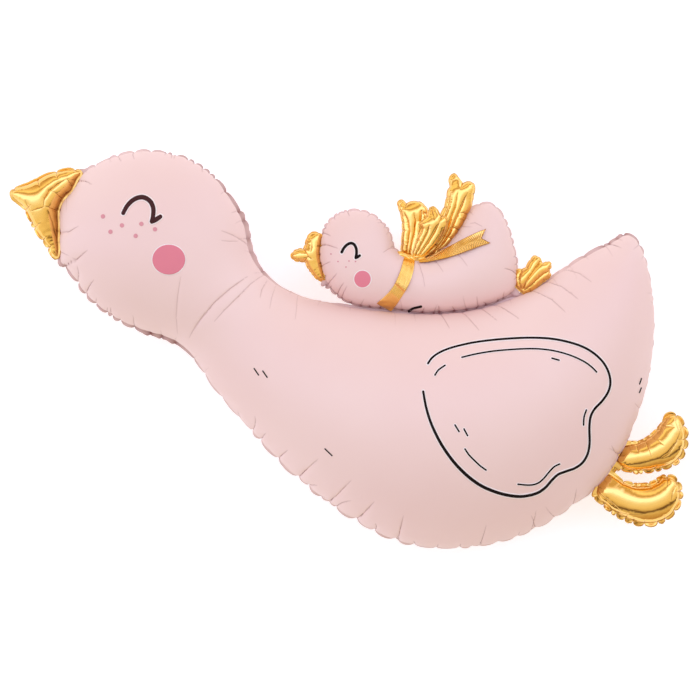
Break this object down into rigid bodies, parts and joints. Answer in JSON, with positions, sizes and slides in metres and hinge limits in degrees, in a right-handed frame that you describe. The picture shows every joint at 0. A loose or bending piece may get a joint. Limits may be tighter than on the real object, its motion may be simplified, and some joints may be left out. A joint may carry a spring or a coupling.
{
  "type": "goose foil balloon",
  "caption": "Blown foil balloon shaped as a pink goose with gold beak and feet, carrying a gosling with a gold ribbon bow on its back.",
  "frame": {"origin": "on the floor, under the middle of the object's box, as it lies on its side", "axes": "+X from the beak towards the feet and tail, +Y from the belly towards the goose's back, +Z out of the side that faces up, square to the level seam planes"},
  "size_m": [1.0656, 0.6294, 0.2538],
  "materials": {
    "pink_foil": "satin pale pink foil with printed dark lines and blush",
    "gold_foil": "mirror gold foil"
  },
  "bodies": {
    "root": {"goose_body": "pink_foil", "goose_beak": "gold_foil", "goose_feet": "gold_foil", "gosling_body": "pink_foil", "gosling_beak": "gold_foil", "gosling_feet": "gold_foil", "ribbon_band": "gold_foil", "ribbon_tail": "gold_foil", "bow_knot": "gold_foil", "bow_loop_left": "gold_foil", "bow_loop_middle": "gold_foil", "bow_loop_right": "gold_foil"}
  },
  "joints": []
}
